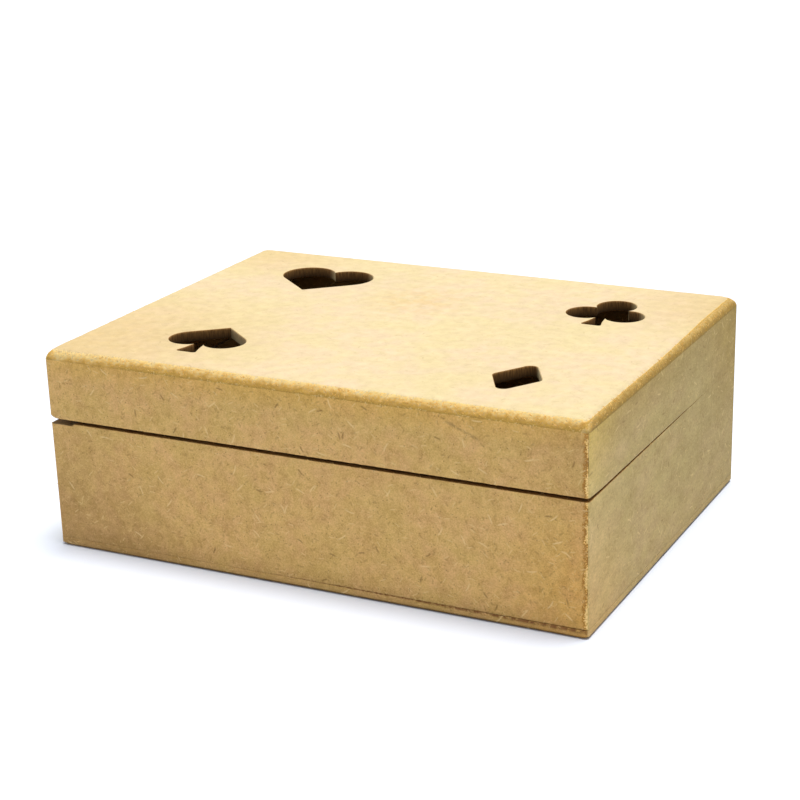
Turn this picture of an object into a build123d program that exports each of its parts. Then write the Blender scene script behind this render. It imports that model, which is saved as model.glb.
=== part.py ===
from build123d import *
import math
import os

os.makedirs("parts", exist_ok=True)

# Playing card box of raw fibreboard. Four mitred boards with a thin panel above and below them are
# sawn through all round into a base and a lid, and two small brass hinges join these at the back.
# Millimetres, +Z up, the front faces -Y. The origin is the middle of the underside.

# Outside of the box
box_length = 160.0
box_depth = 119.5
box_height = 58.0
arris_radius = 1.0          # upright edges, rounded by sanding
round_over_radius = 2.8     # routed edge of the top panel
foot_chamfer = 0.4          # lower edge of the bottom panel

# Boards and panels
wall = 5.5
top_thickness = 3.0
bottom_thickness = 2.5
divider_thickness = 3.0
divider_height = 28.0

# Saw cut between base and lid
rim_height = 37.1           # base rim above the table
front_gap = 0.9             # the lid stands open by this much at the front
back_gap = 0.05             # and rests this close to the base over its last stretch
meeting_length = 30.0       # length of that stretch, from the back
low_cut_depth = 0.6         # the left side was sawn this much lower
low_cut_length = 8.0        # and the blade ran this far into the front board

# Brass hinges
hinge_inset = 30.0          # middle of a hinge from the end of the box
hinge_length = 20.0
leaf_width = 8.0            # from the pin to the free edge of a leaf
leaf_thickness = 0.6
leaf_corner_radius = 0.8
pin_radius = 0.75
pin_clearance = 0.03
pin_overhang = 0.3
pin_edge_radius = 0.25
knuckle_thickness = 0.57
knuckle_clearance = 0.1     # knuckle to the backs of the boards
middle_knuckle_length = 7.0
knuckle_end_gap = 0.15
notch_margin = 0.35         # leaf to the other leaf's turning knuckle

# Hinge nails
nail_spacing = 12.0
nail_from_pin = 5.0
nail_head_radius = 1.3
nail_head_height = 0.55
nail_shank_radius = 0.6
nail_point_length = 0.9
nail_hole_clearance = 0.02
leaf_hole_clearance = 0.15
nail_cover = 1.2            # board left in front of a nail hole

# Heart, with its lobes towards the back
heart_from_left = 37.1
heart_from_back = 24.5      # middle of the lobes
heart_lobe_radius = 8.0
heart_lobe_offset = 6.6
heart_tip_length = 16.2

# Spade, with its stem towards the front
spade_from_left = 37.8
spade_from_front = 23.9
spade_lobe_radius = 6.0
spade_lobe_offset = 5.45
spade_tip_length = 12.2
spade_stem_length = 11.4

# Club, with its stem towards the front
club_from_right = 29.0
club_from_back = 32.5       # middle of the two lower lobes
club_lobe_radius = 5.75
club_lobe_offset = 5.85
club_top_lobe_rise = 8.8
club_stem_length = 11.0
club_turn = -1.8            # degrees, cut a little askew

# Stems of the spade and the club
stem_neck_width = 3.0
stem_foot_width = 6.3
stem_side_radius = 24.0     # hollow of the sides
stem_corner_radius = 0.7

# Diamond
diamond_from_right = 29.7
diamond_from_front = 25.3
diamond_width = 14.3
diamond_length = 24.2
diamond_corner_radius = 2.1
diamond_turn = -2.0         # degrees

# Places that follow from the sizes above
half_length = box_length / 2
half_depth = box_depth / 2
inner_length = box_length - 2 * wall
inner_depth = box_depth - 2 * wall
lid_frame_top = box_height - top_thickness
knuckle_bore = pin_radius + pin_clearance
knuckle_radius = knuckle_bore + knuckle_thickness
pin_y = half_depth + knuckle_clearance + knuckle_radius
pin_z = rim_height + back_gap / 2
notch_depth = math.hypot(pin_y - half_depth, back_gap) + notch_margin
nail_depth = wall - nail_cover
hinge_places = {"left": hinge_inset - half_length, "right": half_length - hinge_inset}
nail_places = [x + side * nail_spacing / 2 for x in hinge_places.values() for side in (-1, 1)]

# Plan corners of the four mitred boards, outer edge first
outer_x, outer_y = half_length, half_depth
inner_x, inner_y = inner_length / 2, inner_depth / 2
front_corners = [(-outer_x, -outer_y), (outer_x, -outer_y), (inner_x, -inner_y), (-inner_x, -inner_y)]
back_corners = [(outer_x, outer_y), (-outer_x, outer_y), (-inner_x, inner_y), (inner_x, inner_y)]
left_corners = [(-outer_x, outer_y), (-outer_x, -outer_y), (-inner_x, -inner_y), (-inner_x, inner_y)]
right_corners = [(outer_x, -outer_y), (outer_x, outer_y), (inner_x, inner_y), (inner_x, -inner_y)]


def board_plan(corners):
    # one board in plan, inside the rounded outline of the box, for the sketch that is open
    Polygon(*corners, align=None)
    RectangleRounded(box_length, box_depth, arris_radius, mode=Mode.INTERSECT)


def rim_gap_profile():
    # side view of what the lid boards lack above the base rim: a wedge that closes towards the back
    meeting_y = half_depth - meeting_length
    Polygon(
        (-half_depth, rim_height),
        (half_depth, rim_height),
        (half_depth, rim_height + back_gap),
        (meeting_y, rim_height + back_gap),
        (-half_depth, rim_height + front_gap),
        align=None,
    )


def save(piece, name):
    piece.part.label = name
    export_step(piece.part, f"parts/{name}.step")


# Base boards
with BuildPart() as base_front:
    with BuildSketch(Plane.XY.offset(bottom_thickness)):
        board_plan(front_corners)
    extrude(amount=rim_height - bottom_thickness)
    with BuildSketch(Plane.XY.offset(rim_height)):
        with Locations((-half_length, -half_depth)):
            Rectangle(low_cut_length, wall, align=Align.MIN)
    extrude(amount=-low_cut_depth, mode=Mode.SUBTRACT)
save(base_front, "base_front")

with BuildPart() as base_back:
    with BuildSketch(Plane.XY.offset(bottom_thickness)):
        board_plan(back_corners)
    extrude(amount=rim_height - bottom_thickness)
    with BuildSketch(Plane.XZ.offset(-half_depth)):
        with Locations(*[(x, pin_z - nail_from_pin) for x in nail_places]):
            Circle(nail_shank_radius + nail_hole_clearance)
    extrude(amount=nail_depth, mode=Mode.SUBTRACT)
save(base_back, "base_back")

with BuildPart() as base_left:
    with BuildSketch(Plane.XY.offset(bottom_thickness)):
        board_plan(left_corners)
    extrude(amount=rim_height - low_cut_depth - bottom_thickness)
save(base_left, "base_left")

with BuildPart() as base_right:
    with BuildSketch(Plane.XY.offset(bottom_thickness)):
        board_plan(right_corners)
    extrude(amount=rim_height - bottom_thickness)
save(base_right, "base_right")

# Bottom panel, glued under the boards
with BuildPart() as base_bottom:
    with BuildSketch():
        RectangleRounded(box_length, box_depth, arris_radius)
    extrude(amount=bottom_thickness)
    chamfer(base_bottom.edges().group_by(Axis.Z)[0], length=foot_chamfer)
save(base_bottom, "base_bottom")

# Divider between the two card bays, standing on the bottom panel
with BuildPart() as divider:
    with BuildSketch(Plane.XY.offset(bottom_thickness)):
        Rectangle(divider_thickness, inner_depth)
    extrude(amount=divider_height)
save(divider, "divider")

# Lid boards
lid_corners = {"front": front_corners, "back": back_corners, "left": left_corners, "right": right_corners}

for side, corners in lid_corners.items():
    with BuildPart() as lid_board:
        with BuildSketch(Plane.XY.offset(rim_height)):
            board_plan(corners)
        extrude(amount=lid_frame_top - rim_height)
        with BuildSketch(Plane.YZ):
            rim_gap_profile()
        extrude(amount=half_length, both=True, mode=Mode.SUBTRACT)
        if side == "back":
            with BuildSketch(Plane.XZ.offset(-half_depth)):
                with Locations(*[(x, pin_z + nail_from_pin) for x in nail_places]):
                    Circle(nail_shank_radius + nail_hole_clearance)
            extrude(amount=nail_depth, mode=Mode.SUBTRACT)
    save(lid_board, f"lid_{side}")


def pointed_lobes(lobe_radius, lobe_offset, tip_length):
    # two round lobes beside the origin and two straight sides, tangent to them, down to the tip
    tip_distance = math.hypot(lobe_offset, tip_length)
    side_length = math.sqrt(tip_distance**2 - lobe_radius**2)
    side_angle = math.atan2(lobe_offset, tip_length) + math.asin(lobe_radius / tip_distance)
    touch_x = side_length * math.sin(side_angle)
    touch_y = side_length * math.cos(side_angle) - tip_length
    with BuildSketch() as outline:
        with Locations((-lobe_offset, 0), (lobe_offset, 0)):
            Circle(lobe_radius)
        tip_side = [(-touch_x, touch_y), (0, -tip_length), (touch_x, touch_y)]
        Polygon(*tip_side, (lobe_offset, 0), (-lobe_offset, 0), align=None)
    return outline.sketch


def flared_stem(length):
    # a stem down from the origin, with hollow sides that widen to a foot with rounded corners
    neck, foot = stem_neck_width / 2, stem_foot_width / 2
    with BuildSketch() as outline:
        with BuildLine():
            RadiusArc((-neck, 0), (-foot, -length), stem_side_radius)
            Line((-foot, -length), (foot, -length))
            RadiusArc((foot, -length), (neck, 0), stem_side_radius)
            Line((neck, 0), (-neck, 0))
        make_face()
        fillet(outline.vertices().group_by(Axis.Y)[0], stem_corner_radius)
    return outline.sketch


# Heart about the middle of its lobes, tip towards -Y
with BuildSketch() as heart:
    add(pointed_lobes(heart_lobe_radius, heart_lobe_offset, heart_tip_length))

# Spade about the middle of its lobes, tip towards +Y
with BuildSketch() as spade:
    add(pointed_lobes(spade_lobe_radius, spade_lobe_offset, spade_tip_length), rotation=180)
    add(flared_stem(spade_stem_length))

# Club about the middle of its two lower lobes
with BuildSketch() as club:
    club_lobes = [(-club_lobe_offset, 0), (club_lobe_offset, 0), (0, club_top_lobe_rise)]
    with Locations(*club_lobes):
        Circle(club_lobe_radius)
    Polygon(*club_lobes, align=None)
    add(flared_stem(club_stem_length))

# Diamond about its middle
with BuildSketch() as diamond:
    half_width, half_height = diamond_width / 2, diamond_length / 2
    Polygon((half_width, 0), (0, half_height), (-half_width, 0), (0, -half_height), align=None)
    fillet(diamond.vertices(), diamond_corner_radius)

# Top panel: routed edge, then the four suits cut through it
with BuildPart() as lid_top:
    with BuildSketch(Plane.XY.offset(lid_frame_top)):
        Rectangle(box_length, box_depth)
    extrude(amount=top_thickness)
    fillet(lid_top.edges().group_by(Axis.Z)[-1], round_over_radius)
    with BuildSketch(Plane.XY.offset(lid_frame_top)):
        RectangleRounded(box_length, box_depth, arris_radius)
    extrude(amount=top_thickness, mode=Mode.INTERSECT)
    with BuildSketch(Plane.XY.offset(lid_frame_top)):
        with Locations((heart_from_left - half_length, half_depth - heart_from_back)):
            add(heart.sketch)
        with Locations((spade_from_left - half_length, spade_from_front - half_depth)):
            add(spade.sketch)
        with Locations((half_length - club_from_right, half_depth - club_from_back)):
            add(club.sketch, rotation=club_turn)
        with Locations((half_length - diamond_from_right, diamond_from_front - half_depth)):
            add(diamond.sketch, rotation=diamond_turn)
    extrude(amount=top_thickness, mode=Mode.SUBTRACT)
save(lid_top, "lid_top")

# Hinge leaves: a flat leaf on the back of the boards, notched where the other leaf has its knuckles
end_knuckle_length = (hinge_length - middle_knuckle_length) / 2 - knuckle_end_gap
end_knuckle_offset = (hinge_length - end_knuckle_length) / 2
knuckle_spans = {
    "base": [(-end_knuckle_offset, end_knuckle_length), (end_knuckle_offset, end_knuckle_length)],
    "lid": [(0, middle_knuckle_length)],
}
leaf_direction = {"base": -1, "lid": 1}

for body, direction in leaf_direction.items():
    for side, hinge_x in hinge_places.items():
        with BuildPart() as leaf:
            # flat part below or above the notches
            with BuildSketch(Plane.XZ.offset(-half_depth)):
                leaf_height = leaf_width - notch_depth
                with Locations((hinge_x, pin_z + direction * (notch_depth + leaf_height / 2))):
                    Rectangle(hinge_length, leaf_height)
            extrude(amount=-leaf_thickness)
            free_corners = leaf.edges().filter_by(Axis.Y).sort_by(Axis.Z)
            fillet(free_corners[:2] if direction < 0 else free_corners[-2:], leaf_corner_radius)
            # tongues that reach the pin, each with its knuckle
            for offset, length in knuckle_spans[body]:
                with BuildSketch(Plane.YZ.offset(hinge_x + offset)):
                    with Locations((half_depth, pin_z + direction * notch_depth / 2)):
                        Rectangle(leaf_thickness, notch_depth, align=(Align.MIN, Align.CENTER))
                    with Locations((pin_y, pin_z)):
                        Circle(knuckle_radius)
                        Circle(knuckle_bore, mode=Mode.SUBTRACT)
                extrude(amount=length / 2, both=True)
            # nail holes
            with BuildSketch(Plane.XZ.offset(-half_depth)):
                with Locations((hinge_x, pin_z + direction * nail_from_pin)):
                    with GridLocations(nail_spacing, 1, 2, 1):
                        Circle(nail_shank_radius + leaf_hole_clearance)
            extrude(amount=-leaf_thickness, mode=Mode.SUBTRACT)
        save(leaf, f"hinge_leaf_{body}_{side}")

# Hinge pins
for side, hinge_x in hinge_places.items():
    with BuildPart() as pin:
        with BuildSketch(Plane.YZ.offset(hinge_x)):
            with Locations((pin_y, pin_z)):
                Circle(pin_radius)
        extrude(amount=hinge_length / 2 + pin_overhang, both=True)
        fillet(pin.edges().filter_by(GeomType.CIRCLE), pin_edge_radius)
    save(pin, f"hinge_pin_{side}")

# One domed nail, driven towards -Y, with the underside of its head at the origin
with BuildPart() as nail:
    with BuildSketch(Plane.XY):
        with BuildLine():
            nail_tip = (0, -leaf_thickness - nail_depth)
            shank_end = (nail_shank_radius, nail_tip[1] + nail_point_length)
            Polyline(nail_tip, shank_end, (nail_shank_radius, 0), (nail_head_radius, 0))
            dome_radius = (nail_head_radius**2 + nail_head_height**2) / (2 * nail_head_height)
            RadiusArc((nail_head_radius, 0), (0, nail_head_height), -dome_radius)
            Line((0, nail_head_height), nail_tip)
        make_face()
    revolve(axis=Axis.Y)

for body, direction in leaf_direction.items():
    with BuildPart() as nails:
        nail_z = pin_z + direction * nail_from_pin
        with Locations(*[(x, half_depth + leaf_thickness, nail_z) for x in nail_places]):
            add(nail.part)
    save(nails, f"hinge_nails_{body}")
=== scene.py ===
import math
from functools import partial
import bmesh
import bpy
import numpy as np
from mathutils import Matrix, Vector, noise
from mathutils.geometry import delaunay_2d_cdt


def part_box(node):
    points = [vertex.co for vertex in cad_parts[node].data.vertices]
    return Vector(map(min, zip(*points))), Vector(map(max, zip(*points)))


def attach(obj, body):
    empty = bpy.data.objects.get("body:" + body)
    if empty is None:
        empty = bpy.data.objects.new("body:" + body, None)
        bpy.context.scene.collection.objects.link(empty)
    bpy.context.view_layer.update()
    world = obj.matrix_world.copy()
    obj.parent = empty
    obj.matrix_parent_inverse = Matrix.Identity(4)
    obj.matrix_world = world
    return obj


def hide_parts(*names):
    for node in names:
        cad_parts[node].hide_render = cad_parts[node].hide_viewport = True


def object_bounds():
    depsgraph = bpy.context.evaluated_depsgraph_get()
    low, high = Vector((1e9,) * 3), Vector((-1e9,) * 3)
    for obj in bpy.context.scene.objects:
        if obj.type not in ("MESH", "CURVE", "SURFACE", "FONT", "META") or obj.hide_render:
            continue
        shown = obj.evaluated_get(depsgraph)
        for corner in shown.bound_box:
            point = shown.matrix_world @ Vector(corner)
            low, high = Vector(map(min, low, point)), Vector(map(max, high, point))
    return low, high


# Playing card box of raw fibreboard, closed, on a pale floor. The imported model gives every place;
# lengths here are in millimetres unless a note says otherwise, and go to metres with mm.
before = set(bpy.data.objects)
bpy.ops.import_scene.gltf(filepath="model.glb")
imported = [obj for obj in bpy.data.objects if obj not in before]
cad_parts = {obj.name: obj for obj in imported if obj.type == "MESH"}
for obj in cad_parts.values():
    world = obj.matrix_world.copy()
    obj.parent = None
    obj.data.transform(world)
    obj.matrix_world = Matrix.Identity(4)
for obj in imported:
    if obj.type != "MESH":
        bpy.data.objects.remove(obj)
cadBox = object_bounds()
mm = 0.001
scene = bpy.context.scene
print("frame loaded:", len(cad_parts), "nodes")


def newObject(name, data):
    made = bpy.data.objects.new(name, data)
    scene.collection.objects.link(made)
    return made


# Camera, at the photograph's own viewing angle
cameraView = {
    "azimuth": 25.706,  # degrees to the right of the front
    "elevation": 20.182,  # degrees above the floor
    "roll": -1.234,  # degrees
    "lens": 86.29, "sensor": 36.0,
    "place": (236.52, -465.14, 212.21),
    "shift": (-0.056, 0.056),  # the photograph is cut off-centre
    "clip": (0.01, 50.0),  # metres
}
lens = bpy.data.cameras.new("photoCamera")
lens.lens, lens.sensor_width = cameraView["lens"], cameraView["sensor"]
lens.shift_x, lens.shift_y = cameraView["shift"]
lens.clip_start, lens.clip_end = cameraView["clip"]
turn, tilt, roll = (Matrix.Rotation(math.radians(angle), 4, axis) for angle, axis in (
    (cameraView["azimuth"], "Z"), (90 - cameraView["elevation"], "X"), (cameraView["roll"], "Z")))
camera = newObject("photoCamera", lens)
camera.matrix_world = Matrix.Translation(Vector(cameraView["place"]) * mm) @ turn @ tilt @ roll
scene.camera = camera
scene.view_settings.view_transform = "Standard"  # whites burn out as they do in the photograph
print("camera made")

# Outside of the box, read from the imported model
panelLow, panelHigh = (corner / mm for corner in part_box("lid_top"))
halfLength, halfDepth, boxTop = panelHigh.x, panelHigh.y, panelHigh.z
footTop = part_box("base_bottom")[1].z / mm
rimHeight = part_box("base_right")[1].z / mm
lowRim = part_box("base_left")[1].z / mm
wall = (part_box("base_front")[1].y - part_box("base_front")[0].y) / mm
sides = ("front", "right", "back", "left")
corners = {"frontLeft": (-1, -1), "frontRight": (1, -1), "backRight": (1, 1), "backLeft": (-1, 1)}


def clamped(value):
    return min(1.0, max(0.0, value))


def toLinear(hexColour):
    channels = [int(hexColour[i:i + 2], 16) / 255 for i in (1, 3, 5)]
    return [c / 12.92 if c <= 0.04045 else ((c + 0.055) / 1.055) ** 2.4 for c in channels] + [1.0]


def setInputs(node, inputs):
    # an input is named, or numbered among those in use; a node stands for its first output in use
    used = [socket for socket in node.inputs if socket.enabled]
    for name, value in inputs.items():
        socket = used[name] if isinstance(name, int) else next(s for s in used if s.name == name)
        if isinstance(value, bpy.types.Node):
            value = next(output for output in value.outputs if output.enabled)
        if isinstance(value, bpy.types.NodeSocket):
            node.id_data.links.new(value, socket)
        else:
            isColour = isinstance(value, str) and value.startswith("#")
            socket.default_value = toLinear(value) if isColour else value


def addNode(tree, kind, *values, **settings):
    # one node with its settings and links; its kind may be followed by its operation, and a dictionary
    # among the values holds named inputs
    kind, *operation = kind.split()
    families = ("ShaderNode", "GeometryNode", "FunctionNode", "Node")
    node = tree.nodes.new(next(family + kind for family in families if hasattr(bpy.types, family + kind)))
    if operation:
        node.operation = operation[0]
    for name, value in settings.items():
        setattr(node, name, value)
    for number, value in enumerate(values):
        setInputs(node, value if isinstance(value, dict) else {number: value})
    return node


def newMaterial(name):
    material = bpy.data.materials.new(name)
    material.use_nodes = True
    return material, partial(addNode, material.node_tree), material.node_tree.nodes["Principled BSDF"]


def layColours(add, colour, layers):
    # each layer is a colour and the shares that say together how much it covers
    for over, cover, *shares in layers:
        for share in shares:
            cover = add("Math MULTIPLY", cover, share)
        colour = add("Mix", cover, colour, over, data_type="RGBA")
    return colour


def setStops(ramp, stops):
    elements = ramp.color_ramp.elements
    while len(elements) < len(stops):
        elements.new(0.5)
    for element, (position, colour, strength) in zip(elements, stops):
        element.position = position
        element.color = toLinear(colour)[:3] + [strength]
    return ramp.outputs


# Raw medium density fibreboard: wood fibres pressed flat with resin. The eye gets a matt tan surface
# with soft olive and pinkish clouds, short pale and dark fibres and a fine grain. The grain tone is how
# strongly grain and mottle change red, green and blue. A shade is a colour that is full at one height
# and gone at another; the low ones are painted shade. A patch is a place where the colour changes: x, y,
# z, radius, colour, strength and how broken it is; the looks list stains, painted shade and painted light
# as patches. An edge stop is a place in the edge band, a colour and its strength.
fibreboardLook = {
    "face": {
        "name": "sandedFibreboardFace",
        "colours": ("#d1a763", "#d2a469", "#cba75d"),  # main tan, pinkish cloud, olive cloud
        "patchSize": 15.0, "grainShare": 0.39, "grainTone": (0.88, 1.03, 1.55), "mottleSize": 2.8,
        "mottleShare": 0.24, "fibreStrength": 1.0, "relief": 0.06, "tornShare": 0.9,
        # the first two shades are painted shade, darker towards the floor and darkest on the foot's chamfer
        # where the floor's shadow falls; the third is a golden tone below the routed edge
        "shades": (("#a07b42", 0.4, 7.5, 0.4), ("#6e5029", 0.6, 1.0, 0.7), ("#d4a44c", 55.0, 49.0, 0.6)),
        # edge stops of the pale strip along the upright corners and the brown beside it: partly the sanded
        # edge and partly painted highlight on the rounded corner
        "edgeStops": ((0.1, "#a5742e", 0.0), (0.22, "#9c6820", 0.8), (0.5, "#a8722a", 0.85),
                      (0.62, "#dbaa55", 0.9), (1.0, "#f4cf88", 0.9)),
        # the patches low on the left are painted shade, where the floor's shadow darkens the front; the
        # others shift the board's colour
        "patches": ((-85, -60, 3, 52, "#ac854f", 0.8, 0.3), (-90, -60, 52, 24, "#dcb268", 0.8, 0.3),
                    (88, -60, 10, 42, "#d19338", 0.5, 0.3), (88, -60, 52, 34, "#a6844d", 0.5, 0.3),
                    (-56, -60, -8, 34, "#9a7440", 0.5, 0.3)),
        # a long scuff on the lid's front, and the glue line over the bottom board that widens to the
        # right: start and end as x and z, width at both, colour and strength
        "marks": (((41.5, 53.2), (50.8, 49.3), 0.75, 0.75, "#86683a", 0.6),
                  ((-10.0, 2.7), (98.0, 2.0), 0.1, 1.4, "#70421a", 0.9)),
    },
    # boards that face left and right, and the foot's ends: the face's fibreboard made darker and greener,
    # partly the boards' own tone and partly painted shade for the weaker light on these sides
    "side": {
        "name": "sandedFibreboardSideWithPaintedLight",
        "colours": ("#ba9f65", "#bb9c6b", "#b6a060"),
        "cloudSize": 4.5, "cloudShare": 0.5, "patchSize": 18.0, "grainShare": 0.32,
        "grainTone": (0.9, 1.03, 1.45), "mottleSize": 3.4, "mottleShare": 0.22, "fibreStrength": 0.75,
        "relief": 0.05, "stretch": (1, 0.5, 1), "tornShare": 0.1,
        # the first two shades are painted shade, darker towards the floor and darkest on the foot's chamfer
        # where the floor's shadow falls; the third is a yellower tone below the routed edge
        "shades": (("#9c8152", 0.4, 5.0, 0.2), ("#6e5029", 0.6, 1.0, 0.7), ("#a98c48", 55.0, 45.0, 0.75)),
        # pale strip along the upright corners: partly the sanded edge and partly painted highlight on the
        # rounded corner
        "edgeStops": ((0.0, "#ccb06c", 0.0), (0.6, "#d0b470", 0.5), (1.0, "#d8bc76", 0.85)),
        # the wide patch at the back and the three pale ones at the front are painted light and painted shade:
        # the side darkens from its front to its back and top; the yellower one high at the back is a tone of
        # the board
        "patches": ((80, 80, 50, 135, "#a68f5a", 0.8, 0.2), (86, 62, 55, 45, "#a58638", 0.75, 0.2),
                    (86, -66, 28, 34, "#d2b67c", 0.6, 0.2), (86, -60, 5, 40, "#d6aa68", 0.6, 0.2),
                    (86, -62, 56, 30, "#e3c060", 0.6, 0.2)),
    },
    # the top panel: paler and creamier than the boards, partly its own tone and partly painted highlight for
    # the light from above
    "top": {
        "name": "sandedFibreboardTopWithPaintedHighlight",
        "colours": ("#d2bd95", "#d4bb9c", "#d0be8d"),
        "patchSize": 24.0, "grainShare": 0.085, "grainTone": (0.97, 1.03, 1.12), "mottleSize": 3.2,
        "mottleShare": 0.14, "fibreStrength": 0.28, "relief": 0.03, "tornShare": 0.26, "bandGrain": 0.55,
        # the front's part of the band is the first half, the sides' part is the second
        "edgeStops": ((0.045, "#d8bc82", 0.0), (0.08, "#d8ba7c", 0.85), (0.14, "#d6b876", 0.95),
                      (0.23, "#cca156", 0.95), (0.33, "#ba8f40", 1.0), (0.45, "#b48d3c", 1.0),
                      (0.52, "#c2a163", 1.0), (0.57, "#c2a163", 1.0), (0.62, "#b29350", 1.0),
                      (0.72, "#aa8642", 1.0), (0.85, "#997732", 1.0), (1.0, "#947630", 1.0)),
        # a stain in the middle; the others make the top darker towards its left end and its back corners
        "patches": ((-5, 20, 58, 22, "#cda05c", 0.3, 1.0), (-80, -50, 58, 80, "#c7ab79", 0.9, 0.2),
                    (88, 48, 58, 50, "#c5a97a", 0.8, 0.2), (-72, 56, 58, 40, "#c9ae7a", 0.7, 0.2)),
    },
    # inner faces: darker than the outside, partly the unsanded board and partly painted shade inside the box
    "inside": {
        "name": "rawFibreboardInsideWithPaintedShade",
        "colours": ("#9c7d52", "#94754b", "#928052"),
        "cloudSize": 8.0, "patchSize": 22.0, "patchShare": 0.5, "grainShare": 0.4, "mottleSize": 2.4,
        "mottleShare": 0.12, "fibreStrength": 0.8, "relief": 0.04,
    },
    # sawn edges: the darker core, kept darker still as painted shade for the seam between lid and base
    "sawn": {
        "name": "sawnFibreboardEdgeWithPaintedShade",  # the saw opens the darker core and leaves a fur of fibres
        "colours": ("#9b7139", "#8d612f", "#95723d"),
        "cloudSize": 3.0, "cloudShare": 0.8, "patchSize": 9.0, "patchShare": 0.6, "grainSize": 0.3,
        "grainShare": 0.6, "mottleSize": 1.6, "mottleShare": 0.15, "fibreStrength": 0.7, "relief": 0.09,
    },
}
plainLook = {"cloudSize": 4.0, "cloudShare": 0.6, "patchShare": 0.55, "grainSize": 0.42,
             "grainTone": (0.88, 1.03, 1.5), "bandGrain": 0.5, "stretch": (1, 1, 1),
             "shades": (), "patches": (), "marks": (), "edgeStops": ()}

# Fibres by layer: cell size, fibre length and width, share of cells that hold one, spread of directions
# in degrees, shift of the pattern, colour and strength. The finest real fibres are under 0.05 mm wide;
# these are drawn three to five times as wide, so that they still show.
fibreLayers = (
    (3.1, 2.3, 0.34, 0.22, 130, 0.0, "#e8c98a", 0.45),
    (1.7, 1.2, 0.28, 0.42, 170, 41.0, "#dfbd7c", 0.45),
    (2.5, 1.7, 0.52, 0.36, 170, 83.0, "#8f6c38", 0.32),
    (1.4, 0.5, 0.3, 0.17, 180, 127.0, "#75552b", 0.5),
    (7.5, 3.6, 0.42, 0.4, 150, 171.0, "#efd296", 0.5),
    (10.5, 2.6, 0.5, 0.4, 170, 219.0, "#6f4c22", 0.5),
)


def fibreMask(add, place, cell, length, width, share, spread, shift):
    # one curved fibre in some of the cells, turned its own way; it gives 1 on the fibre and 0 off it
    shifted = add("VectorMath", place, (shift, shift * 0.7, 0))
    cells = add("TexVoronoi", shifted, 1 / cell, voronoi_dimensions="2D").outputs
    chance = add("SeparateColor", cells["Color"]).outputs
    spread = math.radians(spread)
    angle = add("Math MULTIPLY_ADD", chance["Red"], spread, -spread / 2)
    turned = add("VectorRotate", add("VectorMath SUBTRACT", shifted, cells["Position"]),
                 {"Angle": angle}, rotation_type="Z_AXIS")
    axes = add("SeparateXYZ", turned).outputs
    bend = add("Math MULTIPLY_ADD", chance["Green"], 0.24, -0.12)
    curved = add("Math MULTIPLY_ADD", add("Math MULTIPLY", axes["X"], axes["X"]), bend, axes["Y"])
    narrow, short = (add("MapRange", add("Math ABSOLUTE", off), full, gone, 1.0, 0.0,
                         interpolation_type="SMOOTHSTEP")
                     for off, full, gone in ((curved, width * 0.15, width * 0.7),
                                             (axes["X"], length * 0.2, length * 0.5)))
    held = add("Math LESS_THAN", chance["Blue"], share)
    return add("Math MULTIPLY", add("Math MULTIPLY", narrow, short), held)


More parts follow.
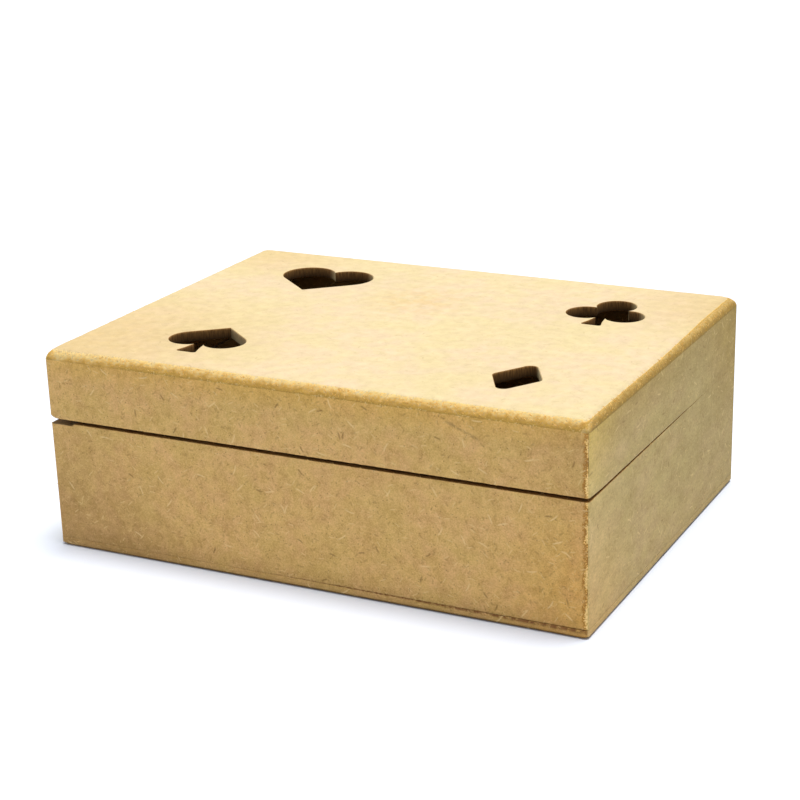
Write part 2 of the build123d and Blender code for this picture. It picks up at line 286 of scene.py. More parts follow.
def makeFibreboard(look):
    look = plainLook | look
    material, add, shader = newMaterial(look["name"])
    place = add("UVMap", uv_map="fibreMap")
    solid = add("VectorMath SCALE", add("TexCoord").outputs["Object"], 1 / mm)
    drawn = add("VectorMath MULTIPLY", solid, look["stretch"])

    def cloud(size, detail, low, high):
        # soft patches about this large, from 0 to 1
        return add("MapRange", add("TexNoise", drawn, 1 / size, detail, 0.6), low, high)

    main, pinkish, olive = look["colours"]
    layers = [(pinkish, cloud(look["cloudSize"], 0, 0.37, 0.63), look["cloudShare"]),
              (olive, cloud(look["patchSize"], 1, 0.45, 0.62), look["patchShare"])]
    level = add("SeparateXYZ", solid).outputs["Z"]
    for shade, start, end, strength in look["shades"]:
        layers.append((shade, add("MapRange", level, start, end, strength, 0.0)))
    # the looks list stains of the board, painted shade and painted light as patches
    for x, y, z, radius, stainAndPaintedLight, strength, broken in look["patches"]:
        near = add("MapRange", add("VectorMath DISTANCE", solid, (x, y, z)), 0.0, radius, strength, 0.0,
                   interpolation_type="SMOOTHSTEP")
        held = add("Math MULTIPLY_ADD", cloud(3.0, 3, 0.38, 0.6), broken, 1 - broken)
        layers.append((stainAndPaintedLight, held, near))
    for (x0, z0), (x1, z1), startWidth, endWidth, dark, strength in look["marks"]:
        # darker along a line across the front, broken and uneven in width
        line = Vector((x1 - x0, 0, z1 - z0))
        offset = add("VectorMath SUBTRACT", solid, (x0, -halfDepth, z0))
        run = add("VectorMath DOT_PRODUCT", offset, line / line.length_squared)
        away = add("VectorMath DISTANCE", offset, add("VectorMath SCALE", line, run))
        uneven = add("Math MULTIPLY_ADD", cloud(2.0, 2, 0.2, 0.8), 0.4, away)
        width = add("Math MULTIPLY_ADD", run, endWidth - startWidth, startWidth)
        narrow = add("MapRange", add("Math SUBTRACT", uneven, 0.2), 0.0, width, strength, 0.0,
                     interpolation_type="SMOOTHSTEP")
        toMiddle = add("Math ABSOLUTE", add("Math SUBTRACT", run, 0.5))
        within = add("MapRange", toMiddle, 0.38, 0.56, 1.0, 0.0)
        layers.append((dark, cloud(1.3, 3, 0.35, 0.55), narrow, within))
    height = cloud(look["grainSize"], 2, 0.25, 0.75)
    middle = add("Math SUBTRACT", height, 0.5)
    grainShare = look["grainShare"]
    if look["edgeStops"]:
        band = add("Attribute", attribute_name="edgeBandAndPaintedLight").outputs["Fac"]
        grainShare = add("MapRange", band, 0.0, 0.08, grainShare, look["bandGrain"])
        # torn fibres break up the edge of the band, but leave the flat surface beside it alone
        torn = add("MapRange", band, 0.0, 0.1, 0.0, look["tornShare"])
        ramp = setStops(add("ValToRGB", add("Math MULTIPLY_ADD", middle, torn, band)), look["edgeStops"])
        layers.append((ramp["Color"], ramp["Alpha"]))
    colour = layColours(add, main, layers)
    # grain and mottle lighten towards cream and darken towards brown
    mottle = add("Math MULTIPLY_ADD", cloud(look["mottleSize"], 3, 0.3, 0.7), look["mottleShare"],
                 -look["mottleShare"] / 2)
    light = add("Math ADD", add("Math MULTIPLY", middle, grainShare), mottle)
    colour = add("VectorMath MULTIPLY", colour,
                 add("VectorMath MULTIPLY_ADD", light, look["grainTone"], (1, 1, 1)))
    fibres = []
    for *form, fibreColour, strength in fibreLayers:
        mask = fibreMask(add, place, *form)
        fibres.append((fibreColour, mask, strength * look["fibreStrength"]))
        height = add("Math MULTIPLY_ADD", mask, 0.4, height)
    bump = add("Bump", {"Height": height, "Distance": look["relief"] * mm, "Strength": 0.7})
    setInputs(shader, {"Base Color": layColours(add, colour, fibres), "Normal": bump,
                       "Roughness": add("MapRange", height, 0.0, 1.0, 0.72, 0.84), "Specular IOR Level": 0.3})
    return material


# Wall of a laser cut in fibreboard: charred brown, with fine upright lines left by the beam. The deep
# brown towards the wall's lower edge is painted shade, and the pale colour on walls that face left is painted
# light.
# the deepest colour is painted shade low in a cut-out, the palest is painted light on walls that face left
charredLook = {"light": "#b08149", "dark": "#7c5831", "deep": "#2a1a0c", "paintedLitWall": "#e8d2a0",
               "lineSize": 0.32, "relief": 0.05}


def makeCharredWall(look):
    material, add, shader = newMaterial("laserCharredFibreboardWithPaintedLight")
    place = add("UVMap", uv_map="fibreMap")
    squashed = add("Mapping", place, {"Scale": (1 / look["lineSize"], 0.12 / look["lineSize"], 1)})
    lines = add("TexNoise", squashed, 1.0, 3)
    ramp = setStops(add("ValToRGB", lines), ((0.35, look["dark"], 1.0), (0.72, look["light"], 1.0)))
    # painted shade: darker towards the wall's lower edge
    paintedShadeBelow = add("MapRange", add("SeparateXYZ", place).outputs["Y"], panelLow.z, boxTop - 0.3, 0.95, 0.0)
    # painted light on walls that face left
    kept = add("Math MULTIPLY", add("Attribute", attribute_name="edgeBandAndPaintedLight").outputs["Fac"],
               add("Math MULTIPLY_ADD", lines, 0.6, 0.65), use_clamp=True)
    colour = layColours(add, ramp["Color"], [(look["deep"], paintedShadeBelow), (look["paintedLitWall"], kept)])
    bump = add("Bump", {"Height": lines, "Distance": look["relief"] * mm})
    setInputs(shader, {"Base Color": colour, "Normal": bump, "Roughness": 0.85, "Specular IOR Level": 0.2})
    return material


# Brass: sheet that was rolled and stamped for the leaves, wire for the pins, pressed heads on the
# nails. Warm yellow metal with soft rolling lines, and a brown tarnish in patches.
brassLook = {
    "leaf": {"name": "rolledSheetBrass", "bright": "#d2ab5a", "tarnish": "#9a7434", "stretch": (0.06, 1, 1),
             "lineSize": 0.22, "roughness": (0.28, 0.46)},
    "wire": {"name": "drawnBrassWire", "bright": "#cfa857", "tarnish": "#94702f", "stretch": (0.08, 1, 1),
             "lineSize": 0.18, "roughness": (0.24, 0.42)},
    "nail": {"name": "pressedBrassNail", "bright": "#dab35f", "tarnish": "#8f6b2e", "stretch": (1, 1, 1),
             "lineSize": 0.35, "roughness": (0.22, 0.4)},
}
tarnishSize, rollingRelief = 2.6, 0.012


def makeBrass(look):
    material, add, shader = newMaterial(look["name"])
    solid = add("VectorMath SCALE", add("TexCoord").outputs["Object"], 1 / mm)
    stretched = add("Mapping", solid, {"Scale": look["stretch"]})
    lines = add("TexNoise", stretched, 1 / look["lineSize"], 3)
    spots = add("MapRange", add("TexNoise", solid, 1 / tarnishSize, 4, 0.65), 0.48, 0.72, 0.0, 0.7)
    bump = add("Bump", {"Height": lines, "Distance": rollingRelief * mm})
    setInputs(shader, {"Base Color": layColours(add, look["bright"], [(look["tarnish"], spots)]),
                       "Roughness": add("MapRange", lines, 0.0, 1.0, *look["roughness"]), "Normal": bump,
                       "Metallic": 1.0})
    return material


fibreboard = {name: makeFibreboard(look) for name, look in fibreboardLook.items()}
charredWall = makeCharredWall(charredLook)
brass = {name: makeBrass(look) for name, look in brassLook.items()}
print("materials made")


boardShape = {
    "arrisRadius": 1.0,  # sanded upright corners
    "sawnEdge": 0.17,  # rounding of an edge that the saw left
    "baseWear": 0.55,  # share of that rounding on the base
    "leastEdge": {"front": 0.02, "right": 0.02, "back": 0.07, "left": 0.02},
    "joinedEdge": 0.09,  # rounding beside the glue line of the bottom panel
    "lidJoint": 0.015,  # and beside the top panel's, which hardly shows
    "sawDepth": 0.05,  # deepest mark of the saw
    "chipDepth": 0.22,  # what breaks off a sawn edge here and there
    "alongStep": 0.5,  # mesh along a board
    "upStep": 1.2,  # mesh up a board
    "frontGap": 0.9,  # lid above the base at the front
    "backGap": 0.01,  # and over its last stretch at the back
    "meetingLength": 30.0,
    "lowCutLength": 8.0,  # how far the low cut of the left side runs into the front
    "baseStepIn": 0.06,  # the lid stands out this much over the base on the left
    "stepInLength": 6.0,
    "rightSag": 0.36,  # share of the gap that the lid's right board closes behind its front corner
    "wornCorner": 1.3,  # how much the lid's lower front left corner is worn round
    "mitreReach": 1.1,  # how far an open mitre draws the board's end back
    # the pale strips are partly sanded edge and partly painted highlight
    "stripWidth": 0.5,  # pale strip along an upright corner
    "frontStrip": 1.3,  # and the wide one at the right end of the front
}

# Mitre joints that stand open at the upright corners: height from, height to, width of the opening
mitreOpenings = {
    "frontRight": ((52.6, 56.0, 0.3), (43.0, 50.6, 0.3), (30.5, 36.5, 0.3), (19.0, 27.5, 0.35),
                   (8.0, 15.0, 0.25)),
    "frontLeft": ((44.0, 52.0, 0.2), (12.0, 22.0, 0.2)),
    "backRight": ((40.0, 50.0, 0.22), (20.0, 33.0, 0.3)),
    "backLeft": ((45.0, 54.0, 0.26), (6.0, 16.0, 0.24)),
}


def waver(x, y, z, size):
    # smooth noise from about -1 to 1, with swells of the given size
    return noise.noise(Vector((x, y, z)) / size)


def endSteps(length, step, close=(0.12, 0.25, 0.4, 0.55, 0.7, 0.85, 1.0, 1.2, 1.45)):
    # distances along an edge, closer together at both ends
    count = max(1, round((length - 2 * close[-1] - 2 * step) / step))
    inner = [close[-1] + step + (length - 2 * (close[-1] + step)) * i / count for i in range(count + 1)]
    return [0.0, *close, *inner, *(length - c for c in reversed(close)), length]


def roundedPlan(x, y, inset=0.0, radius=boardShape["arrisRadius"]):
    # pulls a point back to the arc where the upright corners are sanded round
    centreX, centreY = halfLength - inset - radius, halfDepth - inset - radius
    overX, overY = abs(x) - centreX, abs(y) - centreY
    reach = math.hypot(overX, overY)
    if overX <= 0 or overY <= 0 or reach <= radius:
        return x, y
    share = radius / reach
    return math.copysign(centreX + overX * share, x), math.copysign(centreY + overY * share, y)


def planPoint(side, along, depth):
    return {"front": (along, depth - halfDepth), "right": (halfLength - depth, along),
            "back": (-along, halfDepth - depth), "left": (depth - halfLength, -along)}[side]


def lidRim(side, x, y):
    meeting = halfDepth - boardShape["meetingLength"]
    share = clamped((meeting - y) / (meeting + halfDepth))
    gap = share * (boardShape["frontGap"] - boardShape["backGap"])
    if side == "right":
        gap *= 1 - boardShape["rightSag"] * clamped((y + halfDepth - 1) / 7)
    if side in ("front", "left"):
        toCorner = max(0.0, 1 - math.hypot(x + halfLength, y + halfDepth) / 2.4)
        gap += boardShape["wornCorner"] * toCorner ** 2
    return rimHeight + boardShape["backGap"] + gap


def baseRim(side, x):
    if side == "left":
        return lowRim
    stepAt = boardShape["lowCutLength"] - halfLength
    return rimHeight - (rimHeight - lowRim) * clamped((stepAt - x) / 0.5) if side == "front" else rimHeight


def edgeCurve(radius):
    # across a board's edge from its outer face to its inner one, as (depth, drop)
    arc = [(radius * (1 - math.cos(a)), radius * (1 - math.sin(a)))
           for a in (math.radians(22.5 * i) for i in range(1, 5))]
    flat = [(radius + (wall - 2 * radius) * i / 9, 0.0) for i in range(1, 9)]
    return arc + flat + [(wall - depth, drop) for depth, drop in reversed(arc)]


def boardSection(height, lowRadius, highRadius):
    # outline of a board's section as (depth, share of the height, offset, part of the surface)
    def upright(depth, shares, part):
        return [(depth, s, lowRadius * (1 - s) - highRadius * s, part) for s in shares]

    upSteps, close = round(height / boardShape["upStep"]), 0.5 / height
    return (upright(0.0, [i / upSteps for i in range(upSteps + 1)], "outer")
            + [(depth, 1.0, -drop, "high") for depth, drop in edgeCurve(highRadius)]
            + upright(wall, (1.0, 1 - close, 1 - 3 * close, 0.75, 0.5, 0.25, 3 * close, close, 0.0), "inner")
            + [(depth, 0.0, drop, "low") for depth, drop in reversed(edgeCurve(lowRadius))])


def openingAt(side, end, z):
    # half of a mitre joint's opening at this height, tapering to nothing at both ends of each gap
    corner = list(corners)[(sides.index(side) + (end > 0)) % 4]
    total = 0.0
    for low, high, width in mitreOpenings[corner]:
        if low < z < high:
            share = (z - low) / (high - low)
            total += width / 2 * math.sin(math.pi * share) * (1 + 0.4 * waver(z, 3.0, 1.0, 0.8))
    return max(0.0, total)


def layFibreMap(mesh):
    # flat map in millimetres by the axis that each face looks along, so that fibres keep their size
    def read(items, name, size, kind):
        values = np.empty((len(items), size), kind)
        items.foreach_get(name, values.ravel())
        return values

    totals = read(mesh.polygons, "loop_total", 1, int).ravel()
    normals = np.repeat(read(mesh.polygons, "normal", 3, float), totals, axis=0)
    places = read(mesh.vertices, "co", 3, float)[read(mesh.loops, "vertex_index", 1, int).ravel()] / mm
    axis = np.abs(normals).argmax(1)
    away = np.where(normals[np.arange(len(axis)), axis] > 0, 400.0, 0.0)
    across = np.where(axis == 0, places[:, 1] + 200.0, places[:, 0])
    upward = np.where(axis == 2, places[:, 1] + 150.0, places[:, 2])
    layer = mesh.uv_layers.new(name="fibreMap")
    layer.uv.foreach_set("vector", np.stack([across + away, upward], 1).astype(np.float32).ravel())


def finishMesh(name, bm, materials, sharpAngle=35.0):
    bmesh.ops.recalc_face_normals(bm, faces=bm.faces)
    mesh = bpy.data.meshes.new(name)
    bm.to_mesh(mesh)
    bm.free()
    for material in materials:
        mesh.materials.append(material)
    mesh.shade_smooth()
    mesh.set_sharp_from_angle(angle=math.radians(sharpAngle))
    layFibreMap(mesh)
    return newObject(name, mesh)


def joinRings(bm, rings, materialIndex):
    made = []
    for first, second in zip(rings, rings[1:]):
        for j in range(len(first)):
            k = (j + 1) % len(first)
            made.append(bm.faces.new((first[j], first[k], second[k], second[j])))
            made[-1].material_index = materialIndex(j, k, second[j])
    return made


def makeBoard(body, side):
    shape, isBase = boardShape, body == "base"
    halfRun = halfLength if side in ("front", "back") else halfDepth
    bottom, top = (footTop, rimHeight) if isBase else (rimHeight, panelLow.z)
    seedShift = {"front": 0.0, "right": 31.0, "back": 67.0, "left": 103.0}[side] + (0.0 if isBase else 211.0)
    sawnPart = "high" if isBase else "low"
    lowCut, stepIn = shape["lowCutLength"] - halfLength, shape["stepInLength"]
    bm = bmesh.new()
    band = bm.verts.layers.float.new("edgeBandAndPaintedLight")
    rings = []
    for distance in endSteps(2 * halfRun, shape["alongStep"]):
        share = distance / (2 * halfRun)
        wear = 1 + 0.55 * waver(distance, seedShift, 0, 2.2) + 0.35 * waver(distance, seedShift, 9, 0.7)
        chip = max(0.0, waver(distance, seedShift, 17, 1.3) - 0.45) * 2 * shape["chipDepth"]
        # where lid and base meet the edges stay sharp, and the cut hardly shows
        stationX, stationY = planPoint(side, (2 * share - 1) * halfRun, 0.0)
        gap = lidRim(side, stationX, stationY) - baseRim(side, stationX) - shape["backGap"]
        sawn = (shape["sawnEdge"] * wear + chip) * min(1.0, gap / 0.25)
        sawn = max(shape["leastEdge"][side], sawn * (shape["baseWear"] if isBase else 1.0))
        # the bottom panel's glue line opens towards the right end of the front
        opened = 0.6 + (4.4 * share ** 3 if side == "front" else 0.8)
        joined = max(0.04, shape["joinedEdge"] * (opened + 0.6 * waver(distance, seedShift, 5, 3.0)))
        edges = (joined, sawn) if isBase else (sawn, shape["lidJoint"])
        section = boardSection(top - bottom, *edges)
        end, toEnd = (-1, distance) if share < 0.5 else (1, 2 * halfRun - distance)
        stripWidth = shape["frontStrip"] if side == "front" and share > 0.5 else shape["stripWidth"]
        ring = []
        for depth, up, offset, part in section:
            along = (2 * share - 1) * (halfRun - depth)
            x, y = roundedPlan(*planPoint(side, along, depth))
            low, high = (footTop, baseRim(side, x)) if isBase else (lidRim(side, x, y), panelLow.z)
            z = low * (1 - up) + high * up + offset
            if part == sawnPart:
                mark = shape["sawDepth"] * (0.5 + 0.5 * waver(x * 2.2, y * 2.2, seedShift, 1.0))
                z += -mark if isBase else mark
            fade = max(0.0, 1 - toEnd / shape["mitreReach"]) * max(0.0, 1 - depth / shape["mitreReach"])
            if fade > 0:
                shift = openingAt(side, end, z) * fade
                x, y = roundedPlan(*planPoint(side, along - end * shift, depth + shift * 0.3))
            if isBase:
                x += shape["baseStepIn"] * max(0.0, stepIn - halfLength - x) / stepIn
            vert = bm.verts.new((x * mm, y * mm, z * mm))
            blur = 0.3 * waver(z, seedShift, 3.0, 0.9) + 0.2 * waver(z, seedShift, 7.0, 3.0)
            # the pale strip turns brown beside an opening: painted shade of the open joint
            closed = 1 - 0.55 * min(1.0, openingAt(side, end, z) / 0.12)
            strip = closed * min(1.0, 1.3 - toEnd / stripWidth + blur)
            vert[band] = max(0.0, strip) if part == "outer" else 0.0
            ring.append(vert)
        rings.append(ring)
    parts = [part for *place, part in section]
    slotOf = {"outer": 0, "inner": 1, "high": 2 if isBase else 0, "low": 2}

    def slotAt(j, k, corner):
        if isBase and parts[j] == "high" and corner.co.x / mm < lowCut:
            return 1  # the low cut is an earlier, cleaner one
        return slotOf[parts[k]]

    joinRings(bm, rings, slotAt)
    for ring in (rings[0], rings[-1]):
        cap = bm.faces.new(ring)
        cap.material_index = 2
        bmesh.ops.triangulate(bm, faces=[cap])
    # left and right boards take the side's fibreboard, which is partly painted shade
    outer = fibreboard["face" if side in ("front", "back") else "side"]
    return finishMesh(f"{body}_{side}_board", bm, (outer, fibreboard["inside"], fibreboard["sawn"]))


for body in ("base", "lid"):
    for side in sides:
        board = makeBoard(body, side)
        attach(board, body)
        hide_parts(f"{body}_{side}")
print("boards made")


panelShape = {
    "ringStep": 0.28,  # mesh round a panel
    "furDepth": 0.2,  # how deep the routed edge is torn, at the most
    "wallStep": 0.25,  # mesh round a cut-out
    "wallRings": 6,  # and down it
    "lineDepth": 0.035,  # lines of the laser in a cut-out's wall
    "charEdge": 0.16,  # rounding of a cut-out's upper edge
    "roundOver": 2.8,  # routed quarter round
    "roundSteps": 20,
    "topCorner": {"frontLeft": 2.4, "frontRight": 1.4, "backRight": 2.4, "backLeft": 0.8},
    "footChamfer": 0.75,
}


def ringPlan(inset):
    # plan points round the box, counterclockwise from the front left corner, the same number at any
    # inset; the sander has also rounded the plan's corners, more and more towards the flat top
    reachX, reachY = halfLength - inset, halfDepth - inset
    turns = list(corners.items())
    points = []
    for i, (name, (x0, y0)) in enumerate(turns):
        nextName, (x1, y1) = turns[(i + 1) % 4]
        run = 2 * (halfLength if i % 2 == 0 else halfDepth)
        for distance in endSteps(run, panelShape["ringStep"])[:-1]:
            share = distance / run
            radius = panelShape["topCorner"][name if share < 0.5 else nextName]
            radius = boardShape["arrisRadius"] + radius * min(1.0, inset / panelShape["roundOver"]) ** 0.6
            points.append(roundedPlan((x0 + (x1 - x0) * share) * reachX, (y0 + (y1 - y0) * share) * reachY,
                                      inset, radius))
    return points


def fillFlat(bm, loops, materialIndex):
    # flat face between an outer loop and the loops inside it
    verts = [v for loop in loops for v in loop]
    numbers = iter(range(len(verts)))
    outlines = [[next(numbers) for v in loop] for loop in loops]
    flat = [Vector((v.co.x, v.co.y)) / mm for v in verts]
    insideOnly, nearness = 1, 1e-5
    made = delaunay_2d_cdt(flat, [], outlines, insideOnly, nearness)
    for triangle, within in zip(made[2], made[5]):
        if within == [0]:  # in the outer loop alone
            bm.faces.new([verts[made[3][i][0]] for i in triangle]).material_index = materialIndex


def cutOutLoops(node, height):
    # outlines of the cut-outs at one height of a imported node, resampled evenly between their corners
    bm = bmesh.new()
    bm.from_mesh(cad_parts[node].data)
    bmesh.ops.remove_doubles(bm, verts=bm.verts, dist=1e-6)
    level = {f for f in bm.faces if f.normal.z > 0.999 and abs(f.calc_center_median().z / mm - height) < 0.01}
    rims = {e for f in bm.faces if f in level for e in f.edges if sum(g in level for g in e.link_faces) == 1}
    loops = []
    while rims:
        edge = rims.pop()
        first, here = edge.verts
        loop = [first, here]
        while here is not first:
            edge = next(e for e in here.link_edges if e in rims)
            rims.discard(edge)
            here = edge.other_vert(here)
            loop.append(here)
        loops.append([Vector((v.co.x, v.co.y)) / mm for v in loop[:-1]])
    bm.free()
    loops = [loop for loop in loops if max(p.x for p in loop) < halfLength - 5]
    return [evenLoop(loop, panelShape["wallStep"]) for loop in loops]


def turnAt(loop, i):
    return (loop[i] - loop[i - 1]).angle_signed(loop[(i + 1) % len(loop)] - loop[i])


def evenLoop(loop, step):
    area = sum(p.x * q.y - q.x * p.y for p, q in zip(loop, loop[1:] + loop[:1]))
    loop = loop if area > 0 else loop[::-1]
    turns = [i for i in range(len(loop)) if abs(turnAt(loop, i)) > math.radians(28)] or [0]
    even = []
    for start, end in zip(turns, turns[1:] + [turns[0] + len(loop)]):
        run = [loop[i % len(loop)] for i in range(start, end + 1)]
        lengths = np.cumsum([0.0] + [(b - a).length for a, b in zip(run, run[1:])])
        count = max(2, round(lengths[-1] / step))
        for t in np.linspace(0, lengths[-1], count + 1)[:-1]:
            even.append(Vector([np.interp(t, lengths, [p[axis] for p in run]) for axis in (0, 1)]))
    return even


def brownBand(x, y, z, depthShare, pull):
    # how far the brown core shows: higher up along the front than along the sides
    sideStart = 0.17 - 0.14 * clamped((y + 5) / 35)
    left = 1 - 0.55 * clamped((-50 - x) / 30)
    shown = (clamped((depthShare - 0.04) / 0.05) * (0.08 + 0.37 * depthShare) * pull.y ** 2 * left
             + clamped((depthShare - sideStart) / 0.08) * (0.5 + 0.5 * depthShare) * pull.x ** 2)
    blur = (0.1 * waver(x, y, z, 0.9) + 0.1 * waver(x, y, z, 2.1)) * min(1.0, shown * 5)
    return clamped(shown + blur)


def cutOutRings(bm, band, loop, low, high):
    # rings of one cut-out's wall from the lower face to the upper one
    edge, count = panelShape["charEdge"], panelShape["wallRings"]
    levels = [(edge, low)]
    levels += [(0.0, low + edge + (high - low - 2 * edge) * i / count) for i in range(count + 1)]
    levels += [(edge * 0.35, high - edge * 0.35), (edge, high)]
    # the edge is not widened where the outline turns back on itself
    total = len(loop)
    notches = [i for i in range(total) if turnAt(loop, i) > 0.5]
    rings = []
    for outset, z in levels:
        inWall = low < z < high
        ring = []
        for i, point in enumerate(loop):
            share = min([1.0] + [min(abs(i - j), total - abs(i - j)) / 4 for j in notches])
            along = (loop[(i + 1) % total] - loop[i - 1]).normalized()
            normal = Vector((along.y, -along.x))
            line = 0.5 + 0.5 * waver(point.x, point.y, z * 0.08, 0.28) if inWall else 0.5
            place = point + normal * (outset * share + panelShape["lineDepth"] * line)
            ring.append(bm.verts.new((place.x * mm, place.y * mm, z * mm)))
            # walls that face left get the painted light
            ring[-1][band] = min(0.8, max(0.0, 1.7 * (normal.x - 0.4))) if inWall else 0.0
        rings.append(ring)
    return rings


def makePanel(name, profile, cutOuts, materials):
    # profile from the lower face to the upper one as (inset, height, edge band, share of the torn fur)
    bm = bmesh.new()
    band = bm.verts.layers.float.new("edgeBandAndPaintedLight")
    rings = []
    for inset, z, depthShare, fur in profile:
        ring = []
        for x, y in ringPlan(inset):
            tear = 0.45 + 0.6 * waver(x, y, z, 0.5) + 0.3 * waver(x, y, z, 1.3)
            tear = max(0.0, tear) * fur * panelShape["furDepth"]
            pull = Vector((x, y, 0)) - Vector((max(4 - halfLength, min(halfLength - 4, x)),
                                               max(4 - halfDepth, min(halfDepth - 4, y)), 0))
            pull.normalize()
            vert = bm.verts.new(((x - pull.x * tear) * mm, (y - pull.y * tear) * mm, (z - tear * 0.7) * mm))
            vert[band] = brownBand(x, y, z, depthShare, pull)
            ring.append(vert)
        rings.append(ring)
    outside = joinRings(bm, rings, lambda *corner: 0)
    walls = [cutOutRings(bm, band, loop, profile[0][1], profile[-1][1]) for loop in cutOuts]
    for wallRings in walls:
        joinRings(bm, wallRings, lambda *corner: 1)
    fillFlat(bm, [stack[0] for stack in [rings, *walls]], 2)
    fillFlat(bm, [stack[-1] for stack in [rings, *walls]], 0)
    bm.normal_update()
    # faces that look along x take the side's fibreboard, with its painted shade
    for face in outside:
        if len(materials) > 3 and abs(face.normal.x) > abs(face.normal.y):
            face.material_index = 3
    return finishMesh(name, bm, materials)


# Lower edge beside the glue line, a short upright strip, then the routed quarter round
joined, radius, steps = boardShape["lidJoint"], panelShape["roundOver"], panelShape["roundSteps"]
routedProfile = [(joined, panelLow.z, 0.95, 0.0), (joined * 0.3, panelLow.z + joined * 0.3, 1.0, 0.0),
                 (0.0, panelLow.z + joined, 0.95, 0.0)]
for i in range(steps + 1):
    angle = math.radians(90 * i / steps)
    inset, z = radius * (1 - math.cos(angle)), boxTop - radius * (1 - math.sin(angle))
    fur = min(1.0, 5 * i / steps, 3 * (1 - i / steps))
    routedProfile.append((inset, z, (boxTop - z) / (boxTop - panelLow.z), fur))
lidTop = makePanel("lid_top_panel", routedProfile, cutOutLoops("lid_top", boxTop),
                   (fibreboard["top"], charredWall, fibreboard["inside"]))
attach(lidTop, "lid")
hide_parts("lid_top")

# Chamfered foot, a short upright strip, then the edge beside the glue line
joined, chamfer = boardShape["joinedEdge"], panelShape["footChamfer"]
footProfile = [(chamfer, 0.0, 0.0, 0.0), (chamfer * 0.5, chamfer * 0.45, 0.0, 0.6), (0.0, chamfer, 0.0, 0.0),
               (0.0, 1.4, 0.0, 0.0), (0.0, footTop - joined, 0.0, 0.0),
               (joined * 0.3, footTop - joined * 0.3, 0.0, 0.0), (joined, footTop, 0.0, 0.0)]
foot = makePanel("base_bottom_panel", footProfile, (),
                 (fibreboard["face"], charredWall, fibreboard["inside"], fibreboard["side"]))
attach(foot, "base")
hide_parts("base_bottom")
print("panels made")


def newTree(name, values):
    # geometry tree with a named input for each value; gives the tree, its node adder and its inputs
    kinds = {float: "Float", int: "Int", tuple: "Vector", bpy.types.Material: "Material"}
    tree = bpy.data.node_groups.new(name, "GeometryNodeTree")
    for way in ("INPUT", "OUTPUT"):
        tree.interface.new_socket("Geometry", in_out=way, socket_type="NodeSocketGeometry")
    for label, value in values.items():
        tree.interface.new_socket(label, in_out="INPUT", socket_type="NodeSocket" + kinds[type(value)])
    add = partial(addNode, tree)
    return tree, add, add("GroupInput").outputs


def endTree(add, geometry, material):
    smooth = add("SetShadeSmooth", add("RealizeInstances", geometry))
    add("GroupOutput", add("SetMaterial", smooth, {"Material": material}))


def bakeTree(name, mesh, tree, values):
    piece = newObject(name, mesh)
    modifier = piece.modifiers.new("shape", "NODES")
    modifier.node_group = tree
    for item in tree.interface.items_tree:
        if item.in_out == "INPUT" and item.name in values:
            modifier[item.identifier] = values[item.name]
    view = bpy.context.evaluated_depsgraph_get()
    baked = bpy.data.meshes.new_from_object(piece.evaluated_get(view), preserve_all_data_layers=True,
                                            depsgraph=view)
    piece.modifiers.remove(modifier)
    piece.data = baked
    baked.name = name
    bpy.data.meshes.remove(mesh)
    return piece


# Board between the two bays: a block with every edge eased and its faces left a little uneven by the saw
low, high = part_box("divider")
dividerShape = {"Rounding": 0.35 * mm, "Unevenness": 0.06 * mm, "Swell": 2.4 * mm,
                "Half": tuple((high - low) / 2), "Centre": tuple((high + low) / 2),
                "Material": fibreboard["inside"]}
easedBoard, add, given = newTree("easedBoard", dividerShape)
block = add("MeshCube", (2, 2, 2), 9, 121, 41)
place = add("InputPosition")
# grid lines drawn towards the edges
toEdge = add("VectorMath SUBTRACT", (1, 1, 1), add("VectorMath ABSOLUTE", place))
drawn = add("VectorMath SUBTRACT", (1, 1, 1), add("VectorMath POWER", toEdge, (1.4, 1.4, 1.4)))
drawn = add("VectorMath MULTIPLY", add("VectorMath SIGN", place), drawn)
sized = add("VectorMath MULTIPLY", drawn, given["Half"])
# every point moves to the eased surface: a fixed distance from the block shrunk by that distance
core = add("VectorMath SUBTRACT", given["Half"], add("CombineXYZ", *[given["Rounding"]] * 3))
held = add("VectorMath MAXIMUM", sized, add("VectorMath SCALE", core, -1.0))
held = add("VectorMath MINIMUM", held, core)
outward = add("VectorMath NORMALIZE", add("VectorMath SUBTRACT", sized, held))
eased = add("VectorMath ADD", held, add("VectorMath SCALE", outward, given["Rounding"]))
swell = add("TexNoise", eased, add("Math DIVIDE", 1.0, given["Swell"]), 3)
depth = add("Math MULTIPLY", swell, given["Unevenness"])
worn = add("VectorMath SUBTRACT", eased, add("VectorMath SCALE", outward, depth))
placed = add("VectorMath ADD", worn, given["Centre"])
endTree(add, add("SetPosition", block, {"Position": placed}), given["Material"])
divider = bakeTree("divider_board", bpy.data.meshes.new("seed"), easedBoard, dividerShape)
layFibreMap(divider.data)
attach(divider, "base")
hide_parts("divider")
print("divider made")


# Loose fibres that stand off the routed and the sawn edges. A tuft of fibres in raw fibreboard is a few
# tenths of a millimetre across, and catches the light as pale specks.
fibreLook = {"pale": "#ecc274", "tan": "#c8913c", "patch": 0.9}


def makeLooseFibre(look):
    # single wood fibres: pale cellulose, some still brown with resin
    material, add, shader = newMaterial("looseWoodFibre")
    texture = add("TexNoise", add("TexCoord").outputs["Object"], 1 / (look["patch"] * mm), 2)
    colour = layColours(add, look["pale"], [(look["tan"], add("MapRange", texture, 0.4, 0.62))])
    setInputs(shader, {"Base Color": colour, "Roughness": 0.75, "Specular IOR Level": 0.25})
    return material


